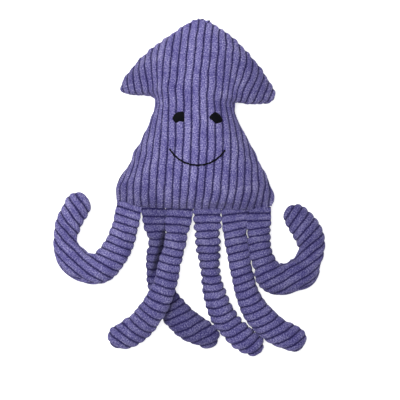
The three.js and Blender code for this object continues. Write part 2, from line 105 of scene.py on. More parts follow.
# %% A smooth curve through measured points
def smooth_curve(points):
    """A function of t, from 0 to 1, along a centripetal Catmull-Rom curve through the points."""
    given = np.array(points, float)
    held = np.vstack([2 * given[0] - given[1], given, 2 * given[-1] - given[-2]])
    steps = np.linalg.norm(np.diff(held, axis=0), axis=1) ** 0.5

    def at(t):
        place = np.clip(np.atleast_1d(t), 0, 1) * (len(given) - 1)
        i = np.minimum(place.astype(int), len(given) - 2)
        w = (place - i)[:, None]
        p0, p1, p2, p3 = (held[i + k] for k in range(4))
        d0, d1, d2 = (steps[i + k][:, None] for k in range(3))
        t1 = ((p1 - p0) / d0 - (p2 - p0) / (d0 + d1) + (p2 - p1) / d1) * d1
        t2 = ((p2 - p1) / d1 - (p3 - p1) / (d1 + d2) + (p3 - p2) / d2) * d1
        squared, cubed = 3 * (p2 - p1) - 2 * t1 - t2, 2 * (p1 - p2) + t1 + t2
        return p1 + t1 * w + squared * w**2 + cubed * w**3

    return at


def smoothstep(x, start, end):
    """0 before start, 1 after end, and a soft slope between them."""
    t = np.clip((np.asarray(x, float) - start) / (end - start), 0, 1)
    return t * t * (3 - 2 * t)


# %% [markdown]
# ## The cloth
#
# Jumbo corduroy has about three wales to the inch. Each wale is a soft round ridge of cut pile,
# and the groove between two wales shows the bare ground cloth. The height over a wale is a cosine
# flattened at its crest, which leaves the grooves narrow, as in real corduroy. A wale is never
# quite straight either, so a little noise lets it wander on the flat cloth.

# %% The sizes of the wales
MANTLE_PITCH = 7.8
ARM_PITCH = 7.7
WALE_DEPTH = 1.6
CREST_HEIGHT = 0.6
GROOVE_SHARPNESS = 0.42
# how far a wale wanders at most, and over what length
WANDER = 0.9
WANDER_LENGTH = 10.0
NOISE_LEVEL = 0.5


def wale_crest(place, sharpness=GROOVE_SHARPNESS):
    """1 on the crest of a wale and 0 in a groove; place counts wales across the cloth."""
    return np.abs(np.cos(np.pi * place)) ** sharpness


def wandering(panel):
    """The places on the flat cloth, moved a little across the wales."""
    moved = panel.copy()
    for cell in np.ndindex(panel.shape[:2]):
        x, y = panel[cell] / WANDER_LENGTH
        moved[cell][0] += WANDER * noise.noise(Vector((x, y, NOISE_LEVEL)))
    return moved


# %% [markdown]
# Every stuffed form is a tube of cloth: a front panel from one seam over to the other, and a back
# panel under it. A grid is the natural start. One of its directions runs round the tube and the
# other along it. Each grid point is moved to its place, and the edges that meet are then merged,
# which closes the tube along one seam and at its ends.
#
# Each corner of a face also stores its place on the flat cloth as a UV coordinate in millimetres.
# The front and back panels are cut separately, so the map is allowed to jump at the seams.

# %% A tube of two cloth panels from a grid
MERGE_DISTANCE = 0.02 * MM


def finished_piece(name, bm):
    """Writes a bmesh into a smooth object at the origin and frees it."""
    mesh = bpy.data.meshes.new(name)
    bm.to_mesh(mesh)
    bm.free()
    mesh.shade_smooth()
    piece = bpy.data.objects.new(name, mesh)
    bpy.context.scene.collection.objects.link(piece)
    return piece


def sewn_tube(name, points, flat, seam_distance, squeeze_and_crevice_shade=None):
    """A closed mesh from rows of points round a tube, the first half of each row on the front.

    flat holds the place on the flat cloth for the front and for the back panel, seam_distance how
    far each point is from the nearest seam, and the last argument how far each point is squeezed
    down, which also sets the painted shade in a crevice beside another arm."""
    rows, columns = points.shape[0] - 1, points.shape[1] - 1
    bm = bmesh.new()
    bmesh.ops.create_grid(bm, x_segments=columns, y_segments=rows, size=0.5)
    cloth = bm.loops.layers.uv.new("cloth")
    seam = bm.verts.layers.float.new("seam")
    back = bm.verts.layers.float.new("back")
    # how far each point is squeezed down, also the painted shade in a crevice beside another arm
    squeeze_and_shade_layer = bm.verts.layers.float.new("squeeze_and_crevice_shade")
    flat = {side: wandering(panel) for side, panel in flat.items()}
    cell = {v: (round((v.co.y + 0.5) * rows), round((v.co.x + 0.5) * columns)) for v in bm.verts}
    for face in bm.faces:
        middle = sum(cell[loop.vert][1] for loop in face.loops) / len(face.loops)
        panel = flat["front"] if middle < columns / 2 else flat["back"]
        for loop in face.loops:
            loop[cloth].uv = panel[cell[loop.vert]]
    for v in bm.verts:
        v[seam] = seam_distance[cell[v]]
        v[back] = float(cell[v][1] > columns / 2)
        v[squeeze_and_shade_layer] = 0.0 if squeeze_and_crevice_shade is None else squeeze_and_crevice_shade[cell[v]]
        v.co = Vector(points[cell[v]]) * MM
    bmesh.ops.remove_doubles(bm, verts=bm.verts, dist=MERGE_DISTANCE)
    bmesh.ops.recalc_face_normals(bm, faces=bm.faces)
    return finished_piece(name, bm)


def across_from_middle(points, first, last, gathered=None):
    """The distance round each row from the middle of the panel between two columns.

    gathered says how much more cloth than that there is at each step, where it is bunched up."""
    steps = np.linalg.norm(np.diff(points[:, first : last + 1], axis=1), axis=2)
    if gathered is not None:
        steps = steps * (1 + (gathered[:, first:last] + gathered[:, first + 1 : last + 1]) / 2)
    along = np.concatenate([np.zeros((len(points), 1)), np.cumsum(steps, axis=1)], axis=1)
    middle = along[:, (last - first) // 2]
    return along - middle[:, None], along[:, -1]


def seam_distances(front, front_width, back, back_width):
    """How far each point is from the nearest side seam."""
    on_front = front_width[:, None] / 2 - np.abs(front)
    on_back = back_width[:, None] / 2 - np.abs(back)
    return np.concatenate([on_front[:, :-1], on_back], axis=1)


# %% [markdown]
# ## The mantle
#
# The mantle is the head and body together. Each station below is a row across the body: the left
# edge, the middle and the right edge on the pattern, how far the front swells above the seam, and
# how high the seam lies at the middle and at the edges. The CAD model was made from nearly the same
# rows. At the hem the swelling starts from nothing, because there the panels are sewn flat, and the
# stuffing makes the front hang over that seam a little. The form could be sculpted out of a ball,
# but in rows each measurement can be set and checked by itself.
#
# The wales run from hem to tip, but not quite straight. They sway where the stuffing pulls the
# cloth, and beside the neck, where the outline turns in sharply, the cloth bunches up, so more
# wales lie side by side than the width alone would hold.

# %% The measured rows of the mantle
MANTLE_STATIONS = [
    # left edge, middle, right edge, swell, seam height at the middle and at the edges
    ((-77.2, 10.4), (0, 3.5), (78.4, 5.6), 3.3, 13.5, 13.5),
    ((-79.8, 21.1), (0, 14), (81, 16), 15, 16, 15.5),
    ((-75.4, 33.7), (0, 32), (74.8, 31.6), 22.5, 19, 18),
    ((-64.4, 50.6), (0.5, 51), (65.4, 50.6), 24, 19.5, 18.5),
    ((-59.7, 62), (0.5, 62.5), (60.7, 61.9), 23.5, 19, 18),
    ((-53, 74.1), (0.5, 74), (54, 74.1), 22.5, 18.5, 17.5),
    ((-44.3, 93.9), (1, 94), (43.6, 93.9), 20.5, 17.3, 16.5),
    ((-39.7, 108), (1.5, 107), (41, 103.9), 19, 16.5, 14.5),
    ((-39.9, 114.6), (2, 113), (41.4, 110.9), 18.5, 16.2, 13),
    ((-47.5, 118.7), (2.5, 119), (57, 109.3), 18.2, 16, 11),
    ((-69.2, 119.1), (3, 126), (77.4, 111.1), 18, 15.8, 9.5),
    ((-73.4, 127.7), (3.5, 134), (81.4, 118), 17.5, 15.4, 9),
    ((-65.4, 141), (4, 145), (74.4, 133.5), 16, 14.6, 9),
    ((-50.3, 157.5), (4.5, 160), (58.9, 154.4), 13.5, 13, 9),
    ((-30.3, 173.5), (5, 176), (39.5, 174.7), 10, 11, 8.5),
    ((-9, 187.8), (6, 189.5), (20.2, 188.1), 5.5, 8.5, 8),
    ((6.6, 195.5), (6.6, 195.5), (6.6, 195.5), 0, 8, 8),
]
BACK_TO_FRONT = 0.83
ROW_FULLNESS = 2.3
HEM_ROUNDING = 6.0
HEM_OVERHANG = 2.6
HEM_OVERHANG_PEAK = 1.8
BACK_OVERHANG = 0.5
HEM_CORNER_POWER = 8
MANTLE_ROWS = 60
MANTLE_COLUMNS = 112
# above 1, so that the rows lie closer together at the hem
ROW_CROWDING = 1.15
# how far the wales sway sideways at some heights on the pattern
SWAY = [
    (3, 4.2), (14, 2.6), (28, 1.0), (50, 0.0), (75, -1.2), (100, -0.7), (121, 0.6), (137, 0.4),
    (155, -0.7), (196, -2.3),
]
SWAY_STEPS = 200
# where the cloth bunches up: the middle, the reach and the extra share
GATHERS = [
    ((-36.5, 121), (6.5, 22), 0.96),
    ((40, 116), (8.5, 20), 0.79),
    ((-56, 57), (10, 20), 0.19),
    ((52, 40), (16, 30), 0.05),
]
# the spare cloth in the head and at the hem, and the heights over which it starts or ends
HEAD_FULLNESS = 0.035
HEAD_FULL_BAND = (118, 142)
HEM_FULLNESS = 0.04
HEM_FULL_BAND = (6, 22)

left_edge = smooth_curve([(*left, edge) for left, _, _, _, _, edge in MANTLE_STATIONS])
right_edge = smooth_curve([(*right, edge) for _, _, right, _, _, edge in MANTLE_STATIONS])
middle_line = smooth_curve([(*middle, height) for _, middle, _, _, height, _ in MANTLE_STATIONS])
swell_line = smooth_curve([(row[3], i) for i, row in enumerate(MANTLE_STATIONS)])


# %% The mantle's cloth
def mantle_points(t, across, side):
    """Places on the mantle: t runs from hem to tip, across from -1 to 1, side is 1 on the front."""
    left, middle, right = left_edge(t), middle_line(t), right_edge(t)
    a = across[:, None]
    point = middle + (right - left) * a / 2 + (left + right - 2 * middle) * a**2 / 2
    hem_distance = middle_line(t)[:, 1] - middle_line(0)[0, 1]
    sewn = np.sqrt(np.clip(hem_distance / HEM_ROUNDING, 0, 1))
    rounded = np.sqrt(np.clip(1 - np.abs(across) ** ROW_FULLNESS, 0, 1))
    swell = swell_line(t)[:, 0] * rounded * sewn
    point[:, 2] += np.where(side > 0, swell, -BACK_TO_FRONT * swell)
    point[:, 2] = np.maximum(point[:, 2], 0)
    # the stuffed hem bulges over its seam, most a short way above it
    step = hem_distance / HEM_OVERHANG_PEAK
    bulge = HEM_OVERHANG * step * np.exp(1 - step) * (1 - a[:, 0] ** HEM_CORNER_POWER)
    point[:, 1] -= np.where(side > 0, 1, BACK_OVERHANG) * bulge
    point[:, :2] += PATTERN_ORIGIN
    return point


def mantle_grid():
    """The grid of places on the mantle, their places on the flat cloth and their seam distances."""
    t = np.linspace(0, 1, MANTLE_ROWS + 1) ** ROW_CROWDING
    turn = np.linspace(0, 2 * np.pi, MANTLE_COLUMNS + 1)
    tt, turns = np.meshgrid(t, turn, indexing="ij")
    side = np.where(turns <= np.pi, 1, -1)
    points = mantle_points(tt.ravel(), -np.cos(turns).ravel(), side.ravel())
    points = points.reshape(*tt.shape, 3)
    half = MANTLE_COLUMNS // 2
    on_pattern = points[..., :2] - PATTERN_ORIGIN
    gathered = np.zeros(tt.shape)
    for middle, reach, extra in GATHERS:
        gathered += extra * np.exp(-(((on_pattern - middle) / reach) ** 2).sum(axis=2))
    front, front_width = across_from_middle(points, 0, half, gathered)
    back, back_width = across_from_middle(points, half, MANTLE_COLUMNS, gathered)
    up = middle_line(tt.ravel())[:, 1].reshape(tt.shape)
    flat_front, flat_back = np.zeros((*tt.shape, 2)), np.zeros((*tt.shape, 2))
    fullness = 1 + HEAD_FULLNESS * smoothstep(up, *HEAD_FULL_BAND)
    fullness += HEM_FULLNESS * (1 - smoothstep(up, *HEM_FULL_BAND))
    swayed = smooth_curve(SWAY)(np.linspace(0, 1, SWAY_STEPS))
    sway = np.interp(up, swayed[:, 0], swayed[:, 1])
    flat_front[:, : half + 1, 0] = front * fullness[:, : half + 1] + sway[:, : half + 1]
    flat_back[:, half:, 0] = back * fullness[:, half:] + sway[:, half:]
    flat_front[..., 1] = flat_back[..., 1] = up
    seam = np.minimum(seam_distances(front, front_width, back, back_width), up - up[0, 0])
    return points, {"front": flat_front, "back": flat_back}, seam


mantle = sewn_tube("mantle_cloth", *mantle_grid())
print("mantle:", len(mantle.data.vertices), "points")

# %% [markdown]
# ## The arms
#
# Each arm is a pair of J-shaped panels. Its route is a list of places with half widths, stepping
# out from the root, where the CAD hinge lies. The panels were cut from flat cloth with the wales
# running straight across the root, but the cut curves away, so the wales turn aslant towards the
# tip. To draw that, the arm's centre line is laid out again on the flat cloth: its heading there
# is its heading on the toy less the tilt that the wales have taken by then. A curve with a round
# bevel would make such a tube more quickly, but it has no seams and no map of the flat cloth.
#
# The other measurements of an arm are:
#
# - first_groove, the distance from the root to the first groove, and fullness, how much cloth there
#   is for each millimetre of the arm, from root to tip. They put every wale in its place.
# - bow, how far a wale hangs towards the tip at the middle of the front, because the stuffing
#   drags the loose middle of a panel and the seams hold its sides.
# - rolled, where the outer seam has turned upward in a bend, so that it shows from above.
# - pressed, where the arm is flattened under another one, lifted, where it lies on another one,
#   and squeezed, where it sinks beside another arm's side and a painted shade darkens that crevice.
# - notch, how deep the grooves cut into the outline, and shade, a painted shade for each arm: darker
#   towards the right, and darkest on tentacle_2, which lies in the shadow of tentacle_3.

# %% The measured routes of the arms
ARMS = {
    "tentacle_1": {
        "root": 12.0,
        "route": [
            (-4.1, -18.5, 13.2), (-10.4, -37.2, 14.3), (-19.9, -52.3, 15.1), (-27.3, -60.1, 15.3),
            (-38.6, -61.5, 14.8), (-48.1, -58.6, 14.4), (-56.2, -51.8, 14.7), (-62, -42.4, 13.2),
            (-63.8, -31, 11.2), (-60.3, -17.1, 12.9), (-51.5, 1.4, 13.5),
        ],
        "tilt": (-16, -19, -24, -44, -47, -51, -53),
        "first_groove": 2.2,
        "fullness": (1.02, 1.02),
        "shade": 0.88,
        "notch": 1.5,
        "rolled": {"by": 32, "at": 86, "reach": 22},
    },
    "tentacle_2": {
        "root": 11.5,
        "route": [
            (1.8, -14.9, 11), (4.1, -30, 9.9), (2.9, -50, 10.9), (5.7, -71.1, 11.8),
            (14.4, -90.7, 13.7), (29.3, -108.5, 15), (38.6, -115.6, 14.8), (53.5, -124.4, 12.6),
        ],
        "tilt": (0, 2, 3, 8, 24, 30, 28),
        "first_groove": 5.2,
        "fullness": (1.01, 1.01, 1.01, 1.12, 1.06, 0.94, 0.9),
        "shade": 0.54,
        "bow": 3.0,
        "notch": 2.4,
        "pressed": {"by": 0.26, "start": 22, "end": 124},
        "squeezed_and_shaded": {
            "beside": "tentacle_3", "by": 0.75, "at": 43, "reach": 20, "from": 0.6, "to": 4.4,
        },
    },
    "tentacle_3": {
        "root": 13.1,
        "route": [
            (-1.7, -13.9, 12.3), (-4.2, -31.1, 11.1), (-9.3, -50.1, 11.2), (-14.2, -70, 12),
            (-21.7, -87.9, 12.9), (-30.4, -102.4, 13.6), (-41.4, -114.8, 14), (-53.6, -123, 13.8),
            (-60.1, -124.5, 12),
        ],
        "tilt": (-2, -7, -12, -17, -30, -39, -43),
        "first_groove": 4.8,
        "fullness": (0.975, 0.975),
        "shade": 0.72,
        "bow": 3.0,
        "notch": 1.5,
        "lifted": {"by": 14.8, "start": 5, "end": 137, "slope": 34},
    },
    "tentacle_4": {
        "root": 13.2,
        "route": [
            (0.3, -21.5, 12.3), (1.6, -41.5, 11.1), (2.9, -56.5, 9.5), (6.4, -73.4, 10.2),
            (10, -87.8, 11.9), (15.9, -101, 12.9), (25.2, -113.5, 12), (35.9, -123.7, 12.7),
            (45.7, -130.3, 11.1),
        ],
        "tilt": (2, 3, 5, 16, 20, 32, 38),
        "first_groove": 1.0,
        "fullness": (0.995, 0.995, 0.995, 0.995, 0.955, 0.95, 0.95),
        "shade": 0.73,
        "bow": 3.0,
        "notch": 4.0,
        "rolled": {"by": -20, "at": 65, "reach": 45},
    },
    "tentacle_5": {
        "root": 12.3,
        "route": [
            (1.6, -21.9, 12.1), (4.7, -41.7, 11.4), (8.8, -61.7, 11.5), (13.6, -79.7, 12.2),
            (23.1, -98.6, 14), (39.9, -115.4, 14.3), (59.3, -125.7, 13.1),
        ],
        "tilt": (9, 14, 17, 22, 28, 31, 36),
        "first_groove": 0.9,
        "fullness": (1.0, 1.0, 1.0, 1.025, 1.0, 0.955, 0.96),
        "shade": 0.7,
        "bow": 3.0,
        "notch": 1.1,
    },
    "tentacle_6": {
        "root": 12.0,
        "route": [
            (0.4, -18, 12), (1.8, -36, 11.7), (6.9, -52.2, 12.7), (12, -62.4, 16.2),
            (22.5, -66.5, 15.5), (32.9, -64.7, 14.4), (43.7, -58.9, 16.2), (49.5, -48.8, 13),
            (52.7, -36, 13), (50.8, -25, 14.6), (45.5, -14.9, 14.7), (38, -4.5, 12.8),
        ],
        "tilt": (2, 11, 26, 34, 38, 48, 57),
        "first_groove": 0.5,
        "fullness": (1.04, 1.04),
        "shade": 0.62,
        "notch": 2.0,
        "rolled": {"by": -32, "at": 88, "reach": 22},
    },
}
PLUMPNESS = 0.78
ROOT_HALF_THICKNESS = 2.6
ROOT_FLARE = 1.1
ROOT_FLARE_LENGTH = 24.0
ROOT_SWELL_LENGTH = 24.0
ROOT_DROP_LENGTH = 48.0
ROOT_TURN_LENGTH = 10.0
FLOOR_CUT = 0.5
TUCK = 8.0

# %% [markdown]
# An arm's rows are square to its middle line. Near the root the arm heads square to its hinge line
# and is thin, because it is sewn flat into the hem. It swells and sinks to the floor from there.

# %% The middle line of an arm
ARM_LINE_STEPS = 300
ROUTE_STEPS = 1200
HEADING_REACH = 4.0
PRESSED_SLOPES = 3


def arm_walk(name):
    """The middle line of an arm by the distance along it: places with half widths, and headings."""
    arm, hinge = ARMS[name], HINGES[name]
    root = np.array(hinge["pos_m"][:2]) / MM
    route = [(*root, arm["root"])] + [(*(root + (x, y)), w) for x, y, w in arm["route"]]
    fine = smooth_curve(route)(np.linspace(0, 1, ROUTE_STEPS))
    gone = np.cumsum(np.linalg.norm(np.diff(fine[:, :2], axis=0), axis=1))
    gone = np.concatenate([[0], gone])
    root_heading = math.atan2(hinge["axis"][0], -hinge["axis"][1])

    def place(s):
        return np.stack([np.interp(s, gone, fine[:, k]) for k in range(3)], axis=-1)

    def heading(s):
        reach = np.minimum(HEADING_REACH, np.maximum(s, 0.0))
        step = place(np.minimum(s + HEADING_REACH, gone[-1])) - place(np.maximum(s - reach, 0))
        angle = np.unwrap(np.arctan2(step[..., 1], step[..., 0]))
        return angle + (root_heading - angle[0]) * np.exp(-np.maximum(s, 0) / ROOT_TURN_LENGTH)

    return place, heading, gone[-1]


def arm_thickness(arm, half_width, s):
    """Half the thickness of an arm at the distances s from its root."""
    full = PLUMPNESS * half_width
    grown = smoothstep(s, 0, ROOT_SWELL_LENGTH)
    thickness = ROOT_HALF_THICKNESS * (1 - grown) + full * grown
    if "pressed" in arm:
        pressed = arm["pressed"]
        slope = (pressed["end"] - pressed["start"]) / PRESSED_SLOPES
        share = smoothstep(s, pressed["start"], pressed["start"] + slope)
        share = share * (1 - smoothstep(s, pressed["end"] - slope, pressed["end"]))
        thickness = thickness * (1 - pressed["by"] * share)
    return thickness


def arm_height(arm, hinge_height, thickness, s):
    """The height of an arm's middle at the distances s from its root."""
    dropped = smoothstep(s, 0, ROOT_DROP_LENGTH)
    height = hinge_height * (1 - dropped) + (thickness - FLOOR_CUT) * dropped
    if "lifted" in arm:
        lifted = arm["lifted"]
        share = smoothstep(s, lifted["start"], lifted["start"] + lifted["slope"])
        share = share * (1 - smoothstep(s, lifted["end"] - lifted["slope"], lifted["end"]))
        height = height + lifted["by"] * share
    return height


def arm_roll(arm, s):
    """How far each row is turned about the middle line, in radians."""
    if "rolled" not in arm:
        return np.zeros(len(s))
    rolled = arm["rolled"]
    return math.radians(rolled["by"]) * np.exp(-(((s - rolled["at"]) / rolled["reach"]) ** 2))


def gap_to_arm(points, name):
    """How far points lie from the side of an arm, seen from above."""
    place, _, length = arm_walk(name)
    line = place(np.linspace(0, length, ARM_LINE_STEPS))
    apart = np.linalg.norm(points[..., None, :2] - line[:, :2], axis=-1)
    return apart.min(axis=-1) - line[apart.argmin(axis=-1), 2]


# %% [markdown]
# Inside a tight bend the rows would run through each other, so on that side they reach no further
# than the bend's own radius allows. The tip is a quarter turn that closes to a point.

# %% The rows of an arm
ROW_STEP = 3.0
SHORTEST_STEP = 1.0
TIP_ROWS = 7
BEND_REACH = 5.0
INNER_REACH = 0.9
LEAST_BEND = 1e-4


def arm_rows(name):
    """The rows of an arm, from the tuck inside the hem to the round tip."""
    arm, hinge = ARMS[name], HINGES[name]
    place, heading_at, length = arm_walk(name)
    straight = np.arange(-TUCK, length, ROW_STEP)
    s = np.append(straight, length) if length - straight[-1] > SHORTEST_STEP else straight
    walked = place(np.clip(s, 0, length))
    heading = heading_at(np.clip(s, 0, length))
    ahead = heading_at(np.clip(s + BEND_REACH, 0, length))
    behind = heading_at(np.clip(s - BEND_REACH, 0, length))
    bend = (ahead - behind) / (2 * BEND_REACH)
    direction = np.stack([np.cos(heading), np.sin(heading)], axis=1)
    middle = walked[:, :2] + direction * np.minimum(s, 0)[:, None]
    half_width = walked[:, 2] + ROOT_FLARE * (1 - smoothstep(s, 0, ROOT_FLARE_LENGTH))
    inner = INNER_REACH / np.maximum(np.abs(bend), LEAST_BEND)
    left = np.where(bend > 0, np.minimum(half_width, inner), half_width)
    right = np.where(bend < 0, np.minimum(half_width, inner), half_width)
    thickness = arm_thickness(arm, half_width, s)
    height = arm_height(arm, hinge["pos_m"][2] / MM, thickness, s)
    thickness[0] = 0.0
    tip_turn = np.linspace(0, np.pi / 2, TIP_ROWS + 1)[1:]
    reach = half_width[-1] * np.sin(tip_turn)
    middle = np.vstack([middle, middle[-1] + direction[-1] * reach[:, None]])
    direction = np.vstack([direction, np.repeat(direction[-1:], TIP_ROWS, axis=0)])
    s = np.concatenate([s, s[-1] + reach])
    heading, height = (np.append(v, np.full(TIP_ROWS, v[-1])) for v in (heading, height))
    left, right, thickness = (np.append(v, v[-1] * np.cos(tip_turn)) for v in (left, right, thickness))
    return {
        "s": s, "middle": middle, "direction": direction, "heading": heading, "height": height,
        "left": left, "right": right, "thickness": thickness, "roll": arm_roll(arm, s),
    }


# %% The rings of points and the cloth on them
ARM_COLUMNS = 24
SQUEEZE_POWER = 4
NARROWEST_PANEL = 1.0
BOW_BAND = (20.0, 90.0)


def arm_rings(arm, rows):
    """The ring of points round each row, and how far each is squeezed down, which also sets the painted
    shade in the crevice beside another arm.
    """
    s, direction = rows["s"], rows["direction"]
    turn = np.repeat(np.linspace(0, 2 * np.pi, ARM_COLUMNS + 1)[None], len(s), axis=0)
    turn = turn + rows["roll"][:, None]
    sideways = np.stack([-direction[:, 1], direction[:, 0]], axis=1)
    half_width = np.where(np.cos(turn) > 0, rows["left"][:, None], rows["right"][:, None])
    out = half_width * np.cos(turn)
    points = np.zeros((len(s), ARM_COLUMNS + 1, 3))
    points[..., :2] = rows["middle"][:, None] + sideways[:, None] * out[..., None]
    height = rows["height"][:, None] + rows["thickness"][:, None] * np.sin(turn)
    points[..., 2] = np.maximum(height, 0)
    squeeze_and_crevice_shade = np.zeros(points.shape[:2])
    if "squeezed_and_shaded" in arm:
        squeezed_and_shaded = arm["squeezed_and_shaded"]
        away = (s - squeezed_and_shaded["at"]) / squeezed_and_shaded["reach"]
        share = squeezed_and_shaded["by"] * np.exp(-(away**SQUEEZE_POWER))[:, None]
        gap = gap_to_arm(points, squeezed_and_shaded["beside"])
        squeeze_and_crevice_shade = share * (1 - smoothstep(gap, squeezed_and_shaded["from"], squeezed_and_shaded["to"]))
        points[..., 2] *= 1 - squeeze_and_crevice_shade
    return points, squeeze_and_crevice_shade


def arm_cloth(arm, rows, points):
    """Where each point of an arm was on the flat cloth, and how far it is from the nearest seam."""
    s, roll = rows["s"], rows["roll"]
    tilt, fullness = (
        np.interp(s, np.linspace(0, s[-1], len(arm[key])), arm[key]) for key in ("tilt", "fullness")
    )
    flat_heading = rows["heading"] - np.radians(tilt)
    along = np.stack([np.cos(flat_heading), np.sin(flat_heading)], axis=1)
    normal = np.stack([-np.sin(flat_heading), np.cos(flat_heading)], axis=1)
    centre = np.cumsum(along * (np.diff(s, prepend=s[0]) * fullness)[:, None], axis=0)
    centre[:, 1] += ARM_PITCH / 2 - np.interp(arm["first_groove"], s, centre[:, 1])
    half = ARM_COLUMNS // 2
    front, front_width = across_from_middle(points, 0, half)
    back, back_width = across_from_middle(points, half, ARM_COLUMNS)
    bow = arm.get("bow", 0) * smoothstep(s, *BOW_BAND)
    from_middle = 2 * front / np.maximum(front_width, NARROWEST_PANEL)[:, None]
    held_back = bow[:, None] * from_middle**2
    # a roll slides the middle of each panel round the arm, and the wales stay where they were
    slid = (roll * np.where(roll > 0, rows["right"], rows["left"]))[:, None]
    flat_front, flat_back = np.zeros((2, len(s), ARM_COLUMNS + 1, 2))
    spread = centre[:, None] - normal[:, None] * (front + slid)[..., None]
    spread = spread + along[:, None] * held_back[..., None]
    flat_front[:, : half + 1] = spread[..., ::-1]
    spread = centre[:, None] + normal[:, None] * (back + slid)[..., None]
    flat_back[:, half:] = spread[..., ::-1]
    seam = seam_distances(front, front_width, back, back_width)
    return {"front": flat_front, "back": flat_back}, seam


def arm_grid(name):
    """Places on an arm, their places on the flat cloth, seam distances, and how far each is squeezed,
    which also sets the painted crevice shade.
    """
    rows = arm_rows(name)
    points, squeeze_and_crevice_shade = arm_rings(ARMS[name], rows)
    flat, seam = arm_cloth(ARMS[name], rows, points)
    return points, flat, seam, squeeze_and_crevice_shade


arms = {name: sewn_tube(f"{name}_cloth", *arm_grid(name)) for name in ARMS}
print("arms:", sum(len(arm.data.vertices) for arm in arms.values()), "points")

# %% [markdown]
# ## Stuffing
#
# The forms so far are smooth, and stuffed cloth isn't: it is a little too large for its seams, so
# it puckers beside them. Noise would crumple it everywhere alike, so a short cloth simulation makes
# the puckers. The seams are held, the cloth gets a few percent of spare length, and a slight
# pressure stands for the stuffing. No point may move more than a little, which keeps the measured
# form.

# %% Simulate the spare cloth
SPARE_CLOTH = 0.045
STUFFING_PRESSURE = 3.0
SIMULATED_FRAMES = 20
MOST_MOTION = 1.6
HELD_BESIDE_SEAM = 0.5
NO_MOTION = 1e-9


def point_values(mesh, name):
    """A point attribute of a mesh as an array."""
    values = np.zeros(len(mesh.vertices), np.float32)
    mesh.attributes[name].data.foreach_get("value", values)
    return values


def point_places(mesh):
    """The places of a mesh's points as an array."""
    places = np.zeros(len(mesh.vertices) * 3, np.float32)
    mesh.vertices.foreach_get("co", places)
    return places.reshape(-1, 3)


def prepare_cloth(piece):
    """Holds a piece at its seams and makes the rest of it spare, stuffed cloth."""
    held = piece.vertex_groups.new(name="held")
    seam = point_values(piece.data, "seam")
    held.add([int(i) for i in np.flatnonzero(seam < HELD_BESIDE_SEAM)], 1.0, "REPLACE")
    cloth = piece.modifiers.new("stuffed cloth", "CLOTH")
    settings = cloth.settings
    settings.quality = 6
    settings.mass = 0.02
    settings.tension_stiffness = settings.compression_stiffness = 20
    settings.shear_stiffness = 8
    settings.bending_stiffness = 0.4
    settings.tension_damping = settings.compression_damping = settings.shear_damping = 8
    settings.bending_damping = 1
    settings.shrink_min = -SPARE_CLOTH
    settings.use_pressure = True
    settings.uniform_pressure_force = STUFFING_PRESSURE
    settings.vertex_group_mass = "held"
    settings.effector_weights.gravity = 0
    cloth.point_cache.frame_end = SIMULATED_FRAMES


def keep_motion(piece):
    """Keeps the simulated form, with the motion of each point limited."""
    before = point_places(piece.data)
    evaluated = piece.evaluated_get(bpy.context.evaluated_depsgraph_get())
    motion = point_places(evaluated.data) - before
    distance = np.linalg.norm(motion, axis=1, keepdims=True) + NO_MOTION
    most = MOST_MOTION * MM
    motion *= most * np.tanh(distance / most) / distance
    after = before + motion
    after[:, 2] = np.maximum(after[:, 2], 0)
    piece.modifiers.clear()
    piece.vertex_groups.clear()
    piece.data.vertices.foreach_set("co", after.ravel())
    piece.data.update()
    mean, largest = distance.mean() / MM, distance.max() / MM
    print(piece.name, "moved", mean.round(2), "mm when simulated, most", largest.round(2))


stuffed = [mantle, *arms.values()]
for piece in stuffed:
    prepare_cloth(piece)
for moment in range(1, SIMULATED_FRAMES + 1):
    bpy.context.scene.frame_set(moment)
for piece in stuffed:
    keep_motion(piece)
bpy.context.scene.frame_set(1)

# %% [markdown]
# ## Finer cloth
#
# The grids have a point about every 3 mm. Two rounds of subdivision give one about every 0.8 mm,
# which is enough to round each wale. The levels are applied, because the wales are pressed into
# the points themselves.

# %% Subdivide and apply
SUBDIVISIONS = 2


def refine(piece):
    """Subdivides a piece and keeps the result as its mesh."""
    modifier = piece.modifiers.new("finer", "SUBSURF")
    modifier.levels = modifier.render_levels = SUBDIVISIONS
    evaluated = piece.evaluated_get(bpy.context.evaluated_depsgraph_get())
    mesh = bpy.data.meshes.new_from_object(evaluated)
    piece.modifiers.clear()
    piece.data = mesh
    mesh.name = piece.name
    mesh.shade_smooth()


for piece in stuffed:
    refine(piece)
smooth_mantle = BVHTree.FromObject(mantle, bpy.context.evaluated_depsgraph_get())
print("finer cloth:", sum(len(piece.data.vertices) for piece in stuffed), "points")

# %% [markdown]
# ## Pressing in the wales
#
# The wales could be a bump in the material, but they are deep enough to show in the outline and to
# shade each other, so they are pressed into the mesh. Each point moves along its normal by the
# height of the wale at its place on the flat cloth. Beside a seam the thread pulls the cloth in, so
# a seam is a groove and the wales rise out of it. That also scallops the outline, where each wale
# rolls over the side: hardly on the tight belly, and deeply on the head.
#
# The mantle's hem is turned in, so the wales end a short way above it. The back is pressed in a
# little, because the toy's weight rests on its pile.

# %% Wales and seams
SEAM_PULL = 1.6
SEAM_WIDTH = 0.9
HEM_BAND = (4.0, 6.0)
BACK_DROP = 0.7
EDGE_REACH = 4.5
EDGE_SHARPNESS = 0.55
# the crest beside a seam rises by this share of the notch, less this drop
EDGE_CREST_SHARE = 0.4
EDGE_CREST_DROP = 0.3
BELLY_NOTCH = 0.5
HEAD_NOTCH = 3.4
NECK_BAND = (112, 121)
SETTLED_BESIDE_SEAM = 2.0
SETTLING_ROUNDS = 2
SETTLING_SHARE = 0.5


def cloth_places(mesh):
    """Where each point was on the flat cloth."""
    uv = np.zeros(len(mesh.loops) * 2, np.float32)
    mesh.uv_layers["cloth"].uv.foreach_get("vector", uv)
    corners = np.zeros(len(mesh.loops), np.int32)
    mesh.loops.foreach_get("vertex_index", corners)
    places = np.zeros((len(mesh.vertices), 2))
    places[corners] = uv.reshape(-1, 2)
    return places


